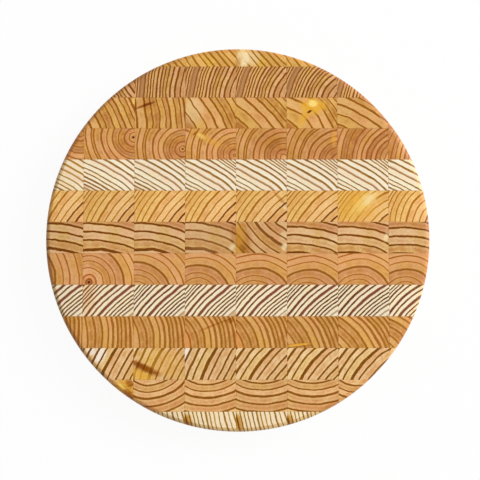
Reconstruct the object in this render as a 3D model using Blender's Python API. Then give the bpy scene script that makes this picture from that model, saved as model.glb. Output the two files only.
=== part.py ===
"""Round end-grain cheese board, glued up from laths of wood and cut round.

Laths lie side by side along Y and are glued into a panel. The panel is cut across into
slices, every slice is stood on end and the slices are glued again, so each lath has
become a row of blocks that show their end grain, and a lath's blocks repeat its growth
rings. The glued blank is cut round, rounded over along both edges and sanded flat.

Two neighbouring blocks of one lath are modelled as one piece, with the glue line
between them as a fine groove in its surface. Each piece is a square-edged stick that
the turned blank trims, so the rounded edge runs on through all of them. Lengths are in
metres, +Z is up, and the origin is under the middle of the board on the face that it
rests on. Laths are counted from the middle one to the back (+Y) and to the front, and
the pieces of a lath from its middle seam to the left and to the right (+X).
"""
import math

import bmesh
import bpy

# The disc
BOARD_DIAMETER = 0.300
BOARD_THICKNESS = 0.025
TOP_ROUNDING = 0.004
UNDERSIDE_ROUNDING = 0.003

# The blocks: rows of laths along Y, slices along X
LATH_WIDTH = 0.0245
SLICE_WIDTH = 0.0397
BLOCKS_PER_PIECE = 2
GLUE_LINE = 0.0003
GROOVE_DEPTH = 0.0006
SMALLEST_PIECE = 0.006
SMALLEST_SLIVER = 0.0015

# Where the grid of seams lies: the disc isn't cut quite from the panel's middle
MIDDLE_LATH_Y = 0.0005
MIDDLE_SEAM_X = -0.0015

# Smoothness of the turned shape
RIM_FACETS = 144
ROUNDING_FACETS = 6
SMOOTH_ANGLE = math.radians(40)

# Oiled end grain as (colour, roughness), each lath of its own stick
HONEY = ((0.65, 0.39, 0.135), 0.46)
ROSY_BROWN = ((0.49, 0.24, 0.085), 0.48)
TAN = ((0.59, 0.29, 0.08), 0.47)
RUSSET = ((0.56, 0.25, 0.075), 0.48)
CREAM = ((0.74, 0.56, 0.37), 0.50)
GOLDEN = ((0.71, 0.38, 0.12), 0.44)
BEIGE = ((0.57, 0.305, 0.12), 0.48)
ORANGE = ((0.60, 0.28, 0.09), 0.46)
IVORY = ((0.63, 0.45, 0.29), 0.50)
AMBER_BROWN = ((0.54, 0.25, 0.065), 0.45)
STRAW = ((0.61, 0.35, 0.14), 0.49)
APRICOT = ((0.61, 0.32, 0.115), 0.46)
BLOND = ((0.71, 0.52, 0.30), 0.50)
WOODS_FROM_THE_BACK = (
    HONEY,
    ROSY_BROWN,
    TAN,
    RUSSET,
    CREAM,
    GOLDEN,
    BEIGE,
    ORANGE,
    IVORY,
    AMBER_BROWN,
    STRAW,
    APRICOT,
    BLOND,
)

BOARD_RADIUS = BOARD_DIAMETER / 2
PIECE_WIDTH = BLOCKS_PER_PIECE * SLICE_WIDTH
OVERSHOOT = 0.004


def clear_scene():
    """Start from an empty scene."""
    for item in list(bpy.data.objects):
        bpy.data.objects.remove(item, do_unlink=True)


def wood(lath_name, row):
    """The oiled wood of one lath, shared by all its blocks."""
    woods = WOODS_FROM_THE_BACK
    colour, roughness = woods[(len(woods) // 2 - row) % len(woods)]
    material = bpy.data.materials.new(f"{lath_name}_wood")
    material.use_nodes = True
    surface = material.node_tree.nodes["Principled BSDF"]
    surface.inputs["Base Color"].default_value = (*colour, 1.0)
    surface.inputs["Roughness"].default_value = roughness
    surface.inputs["Metallic"].default_value = 0.0
    material.diffuse_color = (*colour, 1.0)
    return material


def round_over(shape, height, radius):
    """Round the circular edge that lies at one height of the disc."""
    edges = [
        edge for edge in shape.edges
        if all(abs(corner.co.z - height) < radius / 100 for corner in edge.verts)
    ]
    bmesh.ops.bevel(
        shape,
        geom=edges,
        offset=radius,
        segments=ROUNDING_FACETS,
        profile=0.5,
        affect="EDGES",
    )


def guide(name, shape):
    """An object that only trims others, from a shape that is freed here."""
    mesh = bpy.data.meshes.new(name)
    shape.to_mesh(mesh)
    shape.free()
    mesh.shade_smooth()
    mesh.set_sharp_from_angle(angle=SMOOTH_ANGLE)
    trimmer = bpy.data.objects.new(name, mesh)
    trimmer.hide_render = True
    trimmer.display_type = "WIRE"
    bpy.context.collection.objects.link(trimmer)
    return trimmer


def disc(name, inset):
    """The whole board as one turned disc, its surface set in by a given depth."""
    low, high = inset, BOARD_THICKNESS - inset
    shape = bmesh.new()
    bmesh.ops.create_cone(
        shape,
        cap_ends=True,
        segments=RIM_FACETS,
        radius1=BOARD_RADIUS - inset,
        radius2=BOARD_RADIUS - inset,
        depth=high - low,
    )
    bmesh.ops.translate(shape, verts=shape.verts, vec=(0, 0, (low + high) / 2))
    round_over(shape, high, TOP_ROUNDING - inset)
    round_over(shape, low, UNDERSIDE_ROUNDING - inset)
    return guide(name, shape)


def box(low, high):
    """A box between two opposite corners."""
    size = [top - bottom for bottom, top in zip(low, high)]
    middle = [(top + bottom) / 2 for bottom, top in zip(low, high)]
    shape = bmesh.new()
    bmesh.ops.create_cube(shape, size=1.0)
    bmesh.ops.scale(shape, verts=shape.verts, vec=size)
    bmesh.ops.translate(shape, verts=shape.verts, vec=middle)
    return shape


def trim(target, tool, operation):
    """Cut one object by another that stays in the file as its guide."""
    cut = target.modifiers.new(tool.name, "BOOLEAN")
    cut.operation = operation
    cut.solver = "EXACT"
    cut.object = tool


def seams(pitch, one_seam, reach, smallest):
    """Glue lines on a pitch that leave nothing narrower than smallest inside +-reach."""
    inside = reach - smallest
    first = math.ceil((-inside - one_seam) / pitch)
    last = math.floor((inside - one_seam) / pitch)
    return [one_seam + number * pitch for number in range(first, last + 1)]


def spans(pitch, one_seam, reach):
    """Neighbouring (low, high) stretches between the seams, open past the disc."""
    outside = reach + OVERSHOOT
    edges = [-outside, *seams(pitch, one_seam, reach, SMALLEST_PIECE), outside]
    return list(zip(edges[:-1], edges[1:]))


def groove_guides():
    """The glue lines between slices as thin shells over the disc, by their place in X."""
    core = disc("disc_under_grooves", GROOVE_DEPTH)
    outside = BOARD_RADIUS + OVERSHOOT
    guides = {}
    for x in seams(SLICE_WIDTH, MIDDLE_SEAM_X, BOARD_RADIUS, SMALLEST_SLIVER):
        low = (x - GLUE_LINE / 2, -outside, -OVERSHOOT)
        high = (x + GLUE_LINE / 2, outside, BOARD_THICKNESS + OVERSHOOT)
        guides[x] = guide(f"glue_line_{len(guides) + 1}", box(low, high))
        trim(guides[x], core, "DIFFERENCE")
    return guides


def half_chord(near, far):
    """Half the disc's widest chord in the strip from y = near to y = far."""
    nearest = 0.0 if near < 0.0 < far else min(abs(near), abs(far))
    return math.sqrt(BOARD_RADIUS ** 2 - nearest ** 2)


def stick(name, x_span, y_span, material, blank, grooves):
    """One piece of wood between its glue lines, trimmed by the turned blank."""
    half_gap = GLUE_LINE / 2
    low = (x_span[0] + half_gap, y_span[0] + half_gap, -OVERSHOOT)
    high = (x_span[1] - half_gap, y_span[1] - half_gap, BOARD_THICKNESS + OVERSHOOT)
    shape = box(low, high)
    mesh = bpy.data.meshes.new(name)
    shape.to_mesh(mesh)
    shape.free()
    mesh.materials.append(material)
    piece = bpy.data.objects.new(name, mesh)
    bpy.context.collection.objects.link(piece)
    trim(piece, blank, "INTERSECT")
    for x, groove in grooves.items():
        if low[0] < x - GLUE_LINE and x + GLUE_LINE < high[0]:
            trim(piece, groove, "DIFFERENCE")


def middle_inside(span, reach):
    """The middle of the part of a stretch that lies within +-reach."""
    return (max(span[0], -reach) + min(span[1], reach)) / 2


def lath(name, row, y_span, blank, guides):
    """All the pieces of one lath, side by side along X."""
    material = wood(name, row)
    reach = half_chord(*y_span)
    grooves = {x: one for x, one in guides.items() if abs(x) < reach - SMALLEST_SLIVER}
    for x_span in spans(PIECE_WIDTH, MIDDLE_SEAM_X, reach):
        middle = middle_inside(x_span, reach)
        place = math.floor((middle - MIDDLE_SEAM_X) / PIECE_WIDTH)
        side = f"right_{place + 1}" if place >= 0 else f"left_{-place}"
        stick(f"{name}_{side}", x_span, y_span, material, blank, grooves)


def lath_name(row):
    """What a lath is called by its row, counted from the middle towards the back."""
    if row == 0:
        return "middle_lath"
    return f"back_lath_{row}" if row > 0 else f"front_lath_{-row}"


def board():
    """Every lath of the board."""
    blank = disc("turned_blank", 0.0)
    guides = groove_guides()
    for y_span in spans(LATH_WIDTH, MIDDLE_LATH_Y + LATH_WIDTH / 2, BOARD_RADIUS):
        middle = middle_inside(y_span, BOARD_RADIUS)
        row = round((middle - MIDDLE_LATH_Y) / LATH_WIDTH)
        lath(lath_name(row), row, y_span, blank, guides)


clear_scene()
board()
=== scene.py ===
"""Looks of a round end-grain cheese board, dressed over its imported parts.

Thirteen laths of pine run across the board. They were glued into a panel, cut into
slices and turned on end, so along the board a lath shows as a row of blocks whose growth
rings repeat and slowly drift. Each lath here is one piece that holds its blocks as
separate closed shapes, all cut from one finely turned blank. The corners of a block
carry where they lie in it and where the pith of its stick is, and the wood of the lath
turns that into rings, bands, resin and stains that run right through the block.

Lengths of the board are in metres, +Z is up, and it rests on z = 0. The grain of the
wood is in millimetres, because a joiner reads rings that way.
"""
import logging
import math
import random
from dataclasses import dataclass, field
from enum import Enum

import bmesh
import bpy
from mathutils import Matrix, Vector


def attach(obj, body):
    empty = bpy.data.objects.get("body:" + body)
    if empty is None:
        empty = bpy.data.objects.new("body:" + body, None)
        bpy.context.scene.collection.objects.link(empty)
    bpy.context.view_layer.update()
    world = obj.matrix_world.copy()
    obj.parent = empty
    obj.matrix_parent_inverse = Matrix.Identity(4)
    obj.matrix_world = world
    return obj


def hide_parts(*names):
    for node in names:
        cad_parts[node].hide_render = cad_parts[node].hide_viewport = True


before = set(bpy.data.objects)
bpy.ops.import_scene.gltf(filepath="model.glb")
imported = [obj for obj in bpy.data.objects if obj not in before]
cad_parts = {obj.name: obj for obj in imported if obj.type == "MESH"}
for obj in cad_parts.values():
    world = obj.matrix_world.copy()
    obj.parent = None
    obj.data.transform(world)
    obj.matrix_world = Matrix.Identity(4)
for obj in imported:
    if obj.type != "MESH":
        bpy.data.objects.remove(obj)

LOG = logging.getLogger("cheese_board")
MM = 0.001

Triple = tuple[float, float, float]
Socket = bpy.types.NodeSocket

# What a lath's corners carry for its wood: where they lie in their block (mm), and the
# block's own values
CORNER_VALUES = {
    "place": "FLOAT_VECTOR",
    "pith": "FLOAT_VECTOR",
    "block": "FLOAT",
    "stick_place": "FLOAT",
    "tone": "FLOAT",
    "contrast": "FLOAT",
}

# Each CAD piece of a lath holds two neighbouring blocks
PAIRS_FROM_THE_LEFT = ("left_2", "left_1", "right_1", "right_2")

ORIGIN = (0.0, 0.0, 0.0)
ACROSS_THE_STICK = (1.0, 1.0, 0.0)


# Node trees


class Sheet:
    """A node tree that is filled from left to right."""

    def __init__(self, tree: bpy.types.NodeTree) -> None:
        """Start on a tree."""
        self.tree = tree

    def node(self, kind: str, **settings: object) -> bpy.types.Node:
        """Add a node.

        Args:
            kind: The node's type, without the leading "ShaderNode".
            settings: Properties of the node.

        Returns:
            The new node.
        """
        made = self.tree.nodes.new(f"ShaderNode{kind}")
        for name, value in settings.items():
            setattr(made, name, value)
        return made

    def feed(self, socket: Socket, value: object) -> None:
        """Link an input, or set it.

        Args:
            socket: The input.
            value: The socket it is linked to, or its number, vector or colour.
        """
        if isinstance(value, bpy.types.NodeSocket):
            self.tree.links.new(value, socket)
        else:
            socket.default_value = value

    def math(self, operation: str, *values: object, clamp: bool = False) -> Socket:
        """Work on numbers.

        Args:
            operation: Blender's name for it.
            values: The numbers or sockets that it works on.
            clamp: Whether the result stays between 0 and 1.

        Returns:
            The result.
        """
        made = self.node("Math", operation=operation, use_clamp=clamp)
        for socket, value in zip(made.inputs, values):
            self.feed(socket, value)
        return made.outputs[0]

    def vector(self, operation: str, *values: object) -> Socket:
        """Work on vectors.

        Args:
            operation: Blender's name for it.
            values: The vectors or sockets that it works on, and last the number for a scale.

        Returns:
            The number for a length, else the vector.
        """
        made = self.node("VectorMath", operation=operation)
        scaling = operation == "SCALE"
        inputs = (made.inputs[0], made.inputs["Scale"]) if scaling else made.inputs
        for socket, value in zip(inputs, values):
            self.feed(socket, value)
        return made.outputs["Value" if operation == "LENGTH" else "Vector"]

    def split(self, vector: Socket) -> tuple[Socket, Socket, Socket]:
        """Take a vector apart.

        Args:
            vector: The vector or colour.

        Returns:
            Its x, y and z.
        """
        made = self.node("SeparateXYZ")
        self.feed(made.inputs[0], vector)
        return made.outputs[0], made.outputs[1], made.outputs[2]

    def join(self, *values: object) -> Socket:
        """Make a vector.

        Args:
            values: Its x, y and z.

        Returns:
            The vector.
        """
        made = self.node("CombineXYZ")
        for socket, value in zip(made.inputs, values):
            self.feed(socket, value)
        return made.outputs[0]

    def ease(self, value: object, low: object, high: object) -> Socket:
        """Step smoothly from 0 to 1.

        Args:
            value: What is looked at.
            low: The value up to which the result is 0.
            high: The value from which it is 1.

        Returns:
            The step.
        """
        made = self.node("MapRange", interpolation_type="SMOOTHSTEP")
        for name, given in (("Value", value), ("From Min", low), ("From Max", high)):
            self.feed(made.inputs[name], given)
        return made.outputs["Result"]

    def off(self, value: object, low: object, high: object) -> Socket:
        """The same step, from 1 to 0."""
        return self.math("SUBTRACT", 1.0, self.ease(value, low, high))

    def blend(self, amount: object, below: object, above: object, how: str = "MIX") -> Socket:
        """Lay one colour over another.

        Args:
            amount: How much of the upper colour shows, 0 to 1.
            below: The lower colour, a socket or a tuple.
            above: The upper colour, a socket or a tuple.
            how: Blender's name for the way they blend.

        Returns:
            The blended colour.
        """
        made = self.node("Mix", data_type="RGBA", blend_type=how)
        self.feed(made.inputs[0], amount)
        for socket, colour in ((made.inputs[6], below), (made.inputs[7], above)):
            self.feed(socket, (*colour, 1.0) if isinstance(colour, tuple) else colour)
        return made.outputs[2]


@dataclass(frozen=True)
class Clouds:
    """A noise: how many bumps lie along a millimetre each way, and its finer detail."""

    bumps: Triple
    detail: float = 2.0
    roughness: float = 0.5

    def over(self, sheet: Sheet, place: Socket) -> bpy.types.Node:
        """Lay the noise over a place.

        Args:
            sheet: The tree that it is drawn in.
            place: Where it is looked up, in mm.

        Returns:
            The noise node.
        """
        made = sheet.node("TexNoise")
        for name, value in (
            ("Vector", sheet.vector("MULTIPLY", place, self.bumps)),
            ("Scale", 1.0),
            ("Detail", self.detail),
            ("Roughness", self.roughness),
        ):
            sheet.feed(made.inputs[name], value)
        return made


class Effect:
    """A shader node group that several woods share, made when it is first placed.

    Subclasses name the group and its sockets, and draw what is inside.
    """

    title = ""
    takes: tuple[tuple[str, object], ...] = ()
    gives: tuple[str, ...] = ()

    def inside(self, sheet: Sheet, given: dict[str, Socket]) -> dict[str, Socket]:
        """Draw the group's nodes.

        Args:
            sheet: The group's tree.
            given: The group's inputs by name.

        Returns:
            Its outputs by name.
        """
        raise NotImplementedError

    @staticmethod
    def moved(sheet: Sheet, given: dict[str, Socket], step: float) -> Socket:
        """Move a place along x by the seed, so that two woods never look alike.

        Args:
            sheet: The group's tree.
            given: The group's inputs, with its Place and Seed.
            step: How far one seed lies from the next, in mm.

        Returns:
            The moved place.
        """
        x, y, z = sheet.split(given["Place"])
        return sheet.join(sheet.math("MULTIPLY_ADD", given["Seed"], step, x), y, z)

    def tree(self) -> bpy.types.NodeTree:
        """Make the group once.

        Returns:
            The group's tree.
        """
        made = bpy.data.node_groups.get(self.title)
        if made:
            return made
        made = bpy.data.node_groups.new(self.title, "ShaderNodeTree")
        for name, default in self.takes:
            kind = "NodeSocketVector" if isinstance(default, tuple) else "NodeSocketFloat"
            socket = made.interface.new_socket(name=name, in_out="INPUT", socket_type=kind)
            socket.default_value = default
        for name in self.gives:
            kind = "NodeSocketVector" if name == "Place" else "NodeSocketFloat"
            made.interface.new_socket(name=name, in_out="OUTPUT", socket_type=kind)
        entry, exit_ = made.nodes.new("NodeGroupInput"), made.nodes.new("NodeGroupOutput")
        given = {name: entry.outputs[name] for name, _ in self.takes}
        for name, socket in self.inside(Sheet(made), given).items():
            made.links.new(socket, exit_.inputs[name])
        return made

    def place(self, sheet: Sheet, **values: object) -> dict[str, Socket]:
        """Put the group in a material.

        Args:
            sheet: The material's tree.
            values: Its inputs, with _ for a space in a name.

        Returns:
            Its outputs by name.
        """
        made = sheet.node("Group", node_tree=self.tree(), label=self.title)
        for name, value in values.items():
            sheet.feed(made.inputs[name.replace("_", " ").title()], value)
        return {name: made.outputs[name] for name in self.gives}


class GrainDrift(Effect):
    """Shifts places a little, so that rings wander and ripple as a tree grew them."""

    title = "grain_drift"
    takes = (
        ("Place", ORIGIN),
        ("Stick Place", 0.0),
        ("Wander", 1.0),
        ("Ripple", 0.3),
        ("Fray", 0.1),
        ("Seed", 0.0),
    )
    gives = ("Place",)
    seed_step = 531.0
    # A noise mostly keeps within a quarter of its middle, so this makes its reach whole
    swing = 4.0
    # The clouds of each drift, long along the stick, and the input that sets its reach
    drifts = (
        (Clouds((1 / 32, 1 / 32, 1 / 300), 1.0), "Wander"),
        (Clouds((1 / 7, 1 / 7, 1 / 80), 1.0), "Ripple"),
        (Clouds((1 / 2.4, 1 / 2.4, 1 / 40), 1.0), "Fray"),
    )

    def inside(self, sheet: Sheet, given: dict[str, Socket]) -> dict[str, Socket]:
        """Add three noises that are long along the stick and short across it.

        Args:
            sheet: The group's tree.
            given: The group's inputs by name.

        Returns:
            The shifted place.
        """
        x, y, z = sheet.split(given["Place"])
        along = sheet.math("ADD", z, given["Stick Place"])
        x = sheet.math("MULTIPLY_ADD", given["Seed"], self.seed_step, x)
        whole = sheet.join(x, y, along)
        place = given["Place"]
        for clouds, reach in self.drifts:
            colour = clouds.over(sheet, whole).outputs["Color"]
            centred = sheet.vector("SUBTRACT", colour, (0.5, 0.5, 0.5))
            amount = sheet.math("MULTIPLY", given[reach], self.swing)
            shift = sheet.vector("SCALE", centred, amount)
            flat = sheet.vector("MULTIPLY", shift, ACROSS_THE_STICK)
            place = sheet.vector("ADD", place, flat)
        return {"Place": place}


class PithDistance(Effect):
    """How far out a place lies along the rings, and in which direction from the pith."""

    title = "pith_distance"
    takes = (("Place", ORIGIN), ("Pith", ORIGIN))
    gives = ("Distance", "Direction")

    def inside(self, sheet: Sheet, given: dict[str, Socket]) -> dict[str, Socket]:
        """Measure from the pith, whose z is added to the distance.

        Args:
            sheet: The group's tree.
            given: The group's inputs by name.

        Returns:
            The distance in mm and the direction in radians.
        """
        off = sheet.vector("SUBTRACT", given["Place"], given["Pith"])
        flat = sheet.vector("MULTIPLY", off, ACROSS_THE_STICK)
        added = sheet.split(given["Pith"])[2]
        x, y, _ = sheet.split(flat)
        return {
            "Distance": sheet.math("ADD", sheet.vector("LENGTH", flat), added),
            "Direction": sheet.math("ARCTAN2", y, x),
        }


class RingFigure(Effect):
    """Even spring wood that ends in a thin dark summer line."""

    title = "ring_figure"
    takes = (
        ("Ring Number", 0.0),
        ("Ring Width", 4.0),
        ("Line Width", 0.9),
        ("Unevenness", 0.4),
        ("Seed", 0.0),
    )
    gives = ("Summer", "Weight", "Halo", "Glow", "Deepening", "Paleness", "Ring Tone")
    seed_step = 37.0
    # A line's breadth, as shares of the usual one, and the most that it takes of its ring
    breadth_play, least_breadth, widest_share = 0.7, 0.75, 0.48
    # A line is full until a little before its breadth, gone a little after it, and eased
    # off at its outer side (mm)
    full_before, none_after, outer_side = 0.15, 0.2, 0.12
    # How far the darker wood beside a line reaches, and where the paler wood starts and is
    # full, before a line and after one (mm)
    halo_before, halo_after = 0.8, 0.7
    glow_before, glow_after = (0.7, 2.2), (0.6, 2.0)
    # The share of a ring where its wood starts to deepen
    deepening_from = 0.4

    def inside(self, sheet: Sheet, given: dict[str, Socket]) -> dict[str, Socket]:
        """Give each ring its own tone, and its own width and strength of summer line.

        Args:
            sheet: The group's tree.
            given: The group's inputs by name.

        Returns:
            Masks of the line and of the wood beside it, and what sets the ring apart.
        """
        number, width = given["Ring Number"], given["Ring Width"]
        past = sheet.math("FRACT", number)
        whole = sheet.math("ADD", sheet.math("FLOOR", number), 0.5)
        draw = sheet.node("TexWhiteNoise", noise_dimensions="1D")
        key = sheet.math("MULTIPLY_ADD", given["Seed"], self.seed_step, whole)
        sheet.feed(draw.inputs["W"], key)
        broad, weak, pale = sheet.split(draw.outputs["Color"])
        since = sheet.math("MULTIPLY", past, width)
        left = sheet.math("SUBTRACT", width, since)
        broad = sheet.math("MULTIPLY_ADD", sheet.math("MULTIPLY", broad, broad),
                           self.breadth_play, self.least_breadth)
        thick = sheet.math("MULTIPLY", given["Line Width"], broad)
        thick = sheet.math("MINIMUM", thick, sheet.math("MULTIPLY", width, self.widest_share))
        full = sheet.math("SUBTRACT", thick, self.full_before)
        none = sheet.math("ADD", thick, self.none_after)
        rise = sheet.off(left, full, none)
        spring = sheet.math("SUBTRACT", left, thick)
        before = sheet.ease(spring, 0.0, self.halo_before)
        after = sheet.ease(since, 0.0, self.halo_after)
        farther = sheet.ease(spring, *self.glow_before)
        later = sheet.ease(since, *self.glow_after)
        weakness = sheet.math("MULTIPLY", given["Unevenness"], weak)
        return {
            "Summer": sheet.math("MULTIPLY", rise, sheet.ease(left, 0.0, self.outer_side)),
            "Weight": sheet.math("SUBTRACT", 1.0, weakness),
            "Halo": sheet.math("SUBTRACT", 1.0, sheet.math("MULTIPLY", before, after)),
            "Glow": sheet.math("SUBTRACT", 1.0, sheet.math("MULTIPLY", farther, later)),
            "Deepening": sheet.ease(past, self.deepening_from, 1.0),
            "Paleness": pale,
            "Ring Tone": draw.outputs["Value"],
        }


class RingBand(Effect):
    """A stretch of rings that differs from the rest, soft at both sides."""

    title = "ring_band"
    takes = (
        ("Distance", 0.0),
        ("Middle", 0.0),
        ("Half Width", 1.0),
        ("Softness", 0.5),
    )
    gives = ("Mask",)

    def inside(self, sheet: Sheet, given: dict[str, Socket]) -> dict[str, Socket]:
        """Compare the distance with the band's middle.

        Args:
            sheet: The group's tree.
            given: The group's inputs by name.

        Returns:
            A mask that is 1 along the middle of the band.
        """
        away = sheet.math("ABSOLUTE", sheet.math("SUBTRACT", given["Distance"], given["Middle"]))
        inner = sheet.math("SUBTRACT", given["Half Width"], given["Softness"])
        outer = sheet.math("ADD", given["Half Width"], given["Softness"])
        return {"Mask": sheet.off(away, inner, outer)}


class WoodPatch(Effect):
    """A turned oval on one block, with a ragged edge."""

    title = "wood_patch"
    takes = (
        ("Place", ORIGIN),
        ("Block", 0.0),
        ("On Block", 0.0),
        ("Centre", ORIGIN),
        ("Reach", (1.0, 1.0, 1.0)),
        ("Turn", 0.0),
        ("Softness", 0.4),
        ("Raggedness", 0.3),
    )
    gives = ("Mask",)
    edge = Clouds((0.3, 0.3, 0.03), 3.0)
    # Two block numbers that differ by less are the same
    same_block = 0.4

    def inside(self, sheet: Sheet, given: dict[str, Socket]) -> dict[str, Socket]:
        """Measure how far out a place lies, in parts of the oval's reach.

        Args:
            sheet: The group's tree.
            given: The group's inputs by name.

        Returns:
            A mask that is 1 in the oval's middle, and 0 on every other block.
        """
        off = sheet.vector("SUBTRACT", given["Place"], given["Centre"])
        turned = sheet.node("VectorRotate", rotation_type="Z_AXIS")
        sheet.feed(turned.inputs["Vector"], off)
        sheet.feed(turned.inputs["Angle"], sheet.math("MULTIPLY", given["Turn"], -1.0))
        sized = sheet.vector("DIVIDE", turned.outputs[0], given["Reach"])
        flat = sheet.vector("MULTIPLY", sized, ACROSS_THE_STICK)
        rough = sheet.math("SUBTRACT", self.edge.over(sheet, given["Place"]).outputs["Fac"], 0.5)
        spread = sheet.math("MULTIPLY", given["Raggedness"], 2.0)
        away = sheet.math("MULTIPLY_ADD", rough, spread, sheet.vector("LENGTH", flat))
        inner = sheet.math("SUBTRACT", 1.0, given["Softness"])
        outer = sheet.math("ADD", 1.0, given["Softness"])
        here = sheet.math("COMPARE", given["Block"], given["On Block"], self.same_block)
        return {"Mask": sheet.math("MULTIPLY", sheet.off(away, inner, outer), here)}


class EndFibres(Effect):
    """The fine tubes, rays and resin canals of pine, seen from their ends."""

    title = "end_fibres"
    takes = (
        ("Place", ORIGIN),
        ("Distance", 0.0),
        ("Direction", 0.0),
        ("Seed", 0.0),
    )
    gives = ("Fibres", "Rays", "Canals")
    seed_step = 57.0
    tubes = Clouds((2.6, 2.6, 0.09), 3.0, 0.65)
    # How many rays lie in a radian, and how often they break outward and along the stick
    rays = Clouds((150.0, 0.16, 0.1), 2.0, 0.6)
    # How many cells that may hold a canal lie along a millimetre
    canals = (0.55, 0.55, 0.02)
    # The radius of a canal from full to none, and the share of cells that have none
    canal_edge = (0.05, 0.1)
    no_canal = 0.55

    def inside(self, sheet: Sheet, given: dict[str, Socket]) -> dict[str, Socket]:
        """Draw each long along the stick, so that the rim shows it as fine lines.

        Args:
            sheet: The group's tree.
            given: The group's inputs by name.

        Returns:
            How strong the fibres and rays are at a place, and a mask of the canals.
        """
        whole = self.moved(sheet, given, self.seed_step)
        fan = sheet.join(given["Direction"], given["Distance"], sheet.split(given["Place"])[2])
        cells = sheet.node("TexVoronoi", feature="F1")
        sheet.feed(cells.inputs["Vector"], sheet.vector("MULTIPLY", whole, self.canals))
        sheet.feed(cells.inputs["Scale"], 1.0)
        dot = sheet.off(cells.outputs["Distance"], *self.canal_edge)
        chosen = sheet.math("GREATER_THAN", sheet.split(cells.outputs["Color"])[0], self.no_canal)
        return {
            "Fibres": self.tubes.over(sheet, whole).outputs["Fac"],
            "Rays": self.rays.over(sheet, fan).outputs["Fac"],
            "Canals": sheet.math("MULTIPLY", dot, chosen),
        }


class WoodTint(Effect):
    """Soft clouds and whole rings that are rosier, greener or deeper than the rest."""

    title = "wood_tint"
    takes = (
        ("Place", ORIGIN),
        ("Paleness", 0.5),
        ("Ring Tone", 0.5),
        ("Seed", 0.0),
    )
    gives = ("Pale", "Rosy", "Olive", "Deep", "Mottle", "Strength")
    seed_step = 91.0
    wide_clouds = Clouds((0.055, 0.055, 0.01))
    small_clouds = Clouds((0.2, 0.2, 0.02), 3.0, 0.6)
    fine_clouds = Clouds((0.9, 0.9, 0.05), 3.0, 0.7)
    # How far small clouds and whole rings tilt the hue, and how much a ring's paleness counts
    cloud_tilt, ring_tilt, ring_paleness = 0.6, 0.36, 0.6
    # Where each tint starts and is full
    pale, rosy, olive = (0.4, 1.2), (0.48, 0.74), (0.26, 0.52)
    deep, mottled, strong = (0.35, 0.75), (0.4, 0.7), (0.3, 0.7)
    # How strong the faintest stretch of a summer line is
    weakest_line = 0.5

    def inside(self, sheet: Sheet, given: dict[str, Socket]) -> dict[str, Socket]:
        """Lay clouds a few millimetres across, which run far along the stick.

        Args:
            sheet: The group's tree.
            given: The group's inputs by name.

        Returns:
            A mask for each tint, and how strong the summer lines are at a place.
        """
        whole = self.moved(sheet, given, self.seed_step)
        wide, small, fine = (
            clouds.over(sheet, whole)
            for clouds in (self.wide_clouds, self.small_clouds, self.fine_clouds)
        )
        hue, deep, _ = sheet.split(wide.outputs["Color"])
        patchy, along, cloudy = sheet.split(small.outputs["Color"])
        ring = sheet.math("MULTIPLY_ADD", given["Ring Tone"], self.ring_tilt, -self.ring_tilt / 2)
        cloud = sheet.math("MULTIPLY_ADD", patchy, self.cloud_tilt, -self.cloud_tilt / 2)
        tilt = sheet.math("ADD", hue, sheet.math("ADD", cloud, ring))
        pale = sheet.math("MULTIPLY_ADD", given["Paleness"], self.ring_paleness, cloudy)
        strong = sheet.ease(along, *self.strong)
        weakest = self.weakest_line
        return {
            "Pale": sheet.ease(pale, *self.pale),
            "Rosy": sheet.ease(tilt, *self.rosy),
            "Olive": sheet.off(tilt, *self.olive),
            "Deep": sheet.ease(deep, *self.deep),
            "Mottle": sheet.ease(fine.outputs["Fac"], *self.mottled),
            "Strength": sheet.math("MULTIPLY_ADD", strong, 1.0 - weakest, weakest),
        }


class SeamGlueAndShade(Effect):
    """The thin dark line where a block meets its neighbours: the glued joint, with painted shade in the
    seam.
    """

    title = "seam_glue_and_shade"
    takes = (("Place", ORIGIN), ("Half Block", (1.0, 1.0, 0.0)))
    gives = ("Mask",)
    # How far from the edge the glued seam's dark line and painted shade are full, and where they have
    # gone (mm)
    soaked = (0.08, 0.42)

    def inside(self, sheet: Sheet, given: dict[str, Socket]) -> dict[str, Socket]:
        """Measure how near the block's edge a place lies.

        Args:
            sheet: The group's tree.
            given: The group's inputs by name.

        Returns:
            A mask that is 1 at the block's edge.
        """
        off = sheet.vector("ABSOLUTE", given["Place"])
        x, y, _ = sheet.split(sheet.vector("SUBTRACT", given["Half Block"], off))
        return {"Mask": sheet.off(sheet.math("MINIMUM", x, y), *self.soaked)}


class RimEdge(Effect):
    """The rounded rim, whose wood is washed darker all round, partly as painted shade of an edge turned
    from the light.
    """

    title = "rim_edge"
    takes = (("Facing", (0.0, 0.0, 1.0)),)
    gives = ("Mask",)
    # How upright the surface is where the rim's look is full, 14 degrees off, and none
    turned, flat = 0.97, 0.9995

    def inside(self, sheet: Sheet, given: dict[str, Socket]) -> dict[str, Socket]:
        """Look at how far the surface has turned away from the flat faces.

        Args:
            sheet: The group's tree.
            given: The group's inputs by name.

        Returns:
            A mask that is 0 on the flat faces.
        """
        upright = sheet.math("ABSOLUTE", sheet.split(given["Facing"])[2])
        return {"Mask": sheet.off(upright, self.turned, self.flat)}


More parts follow.
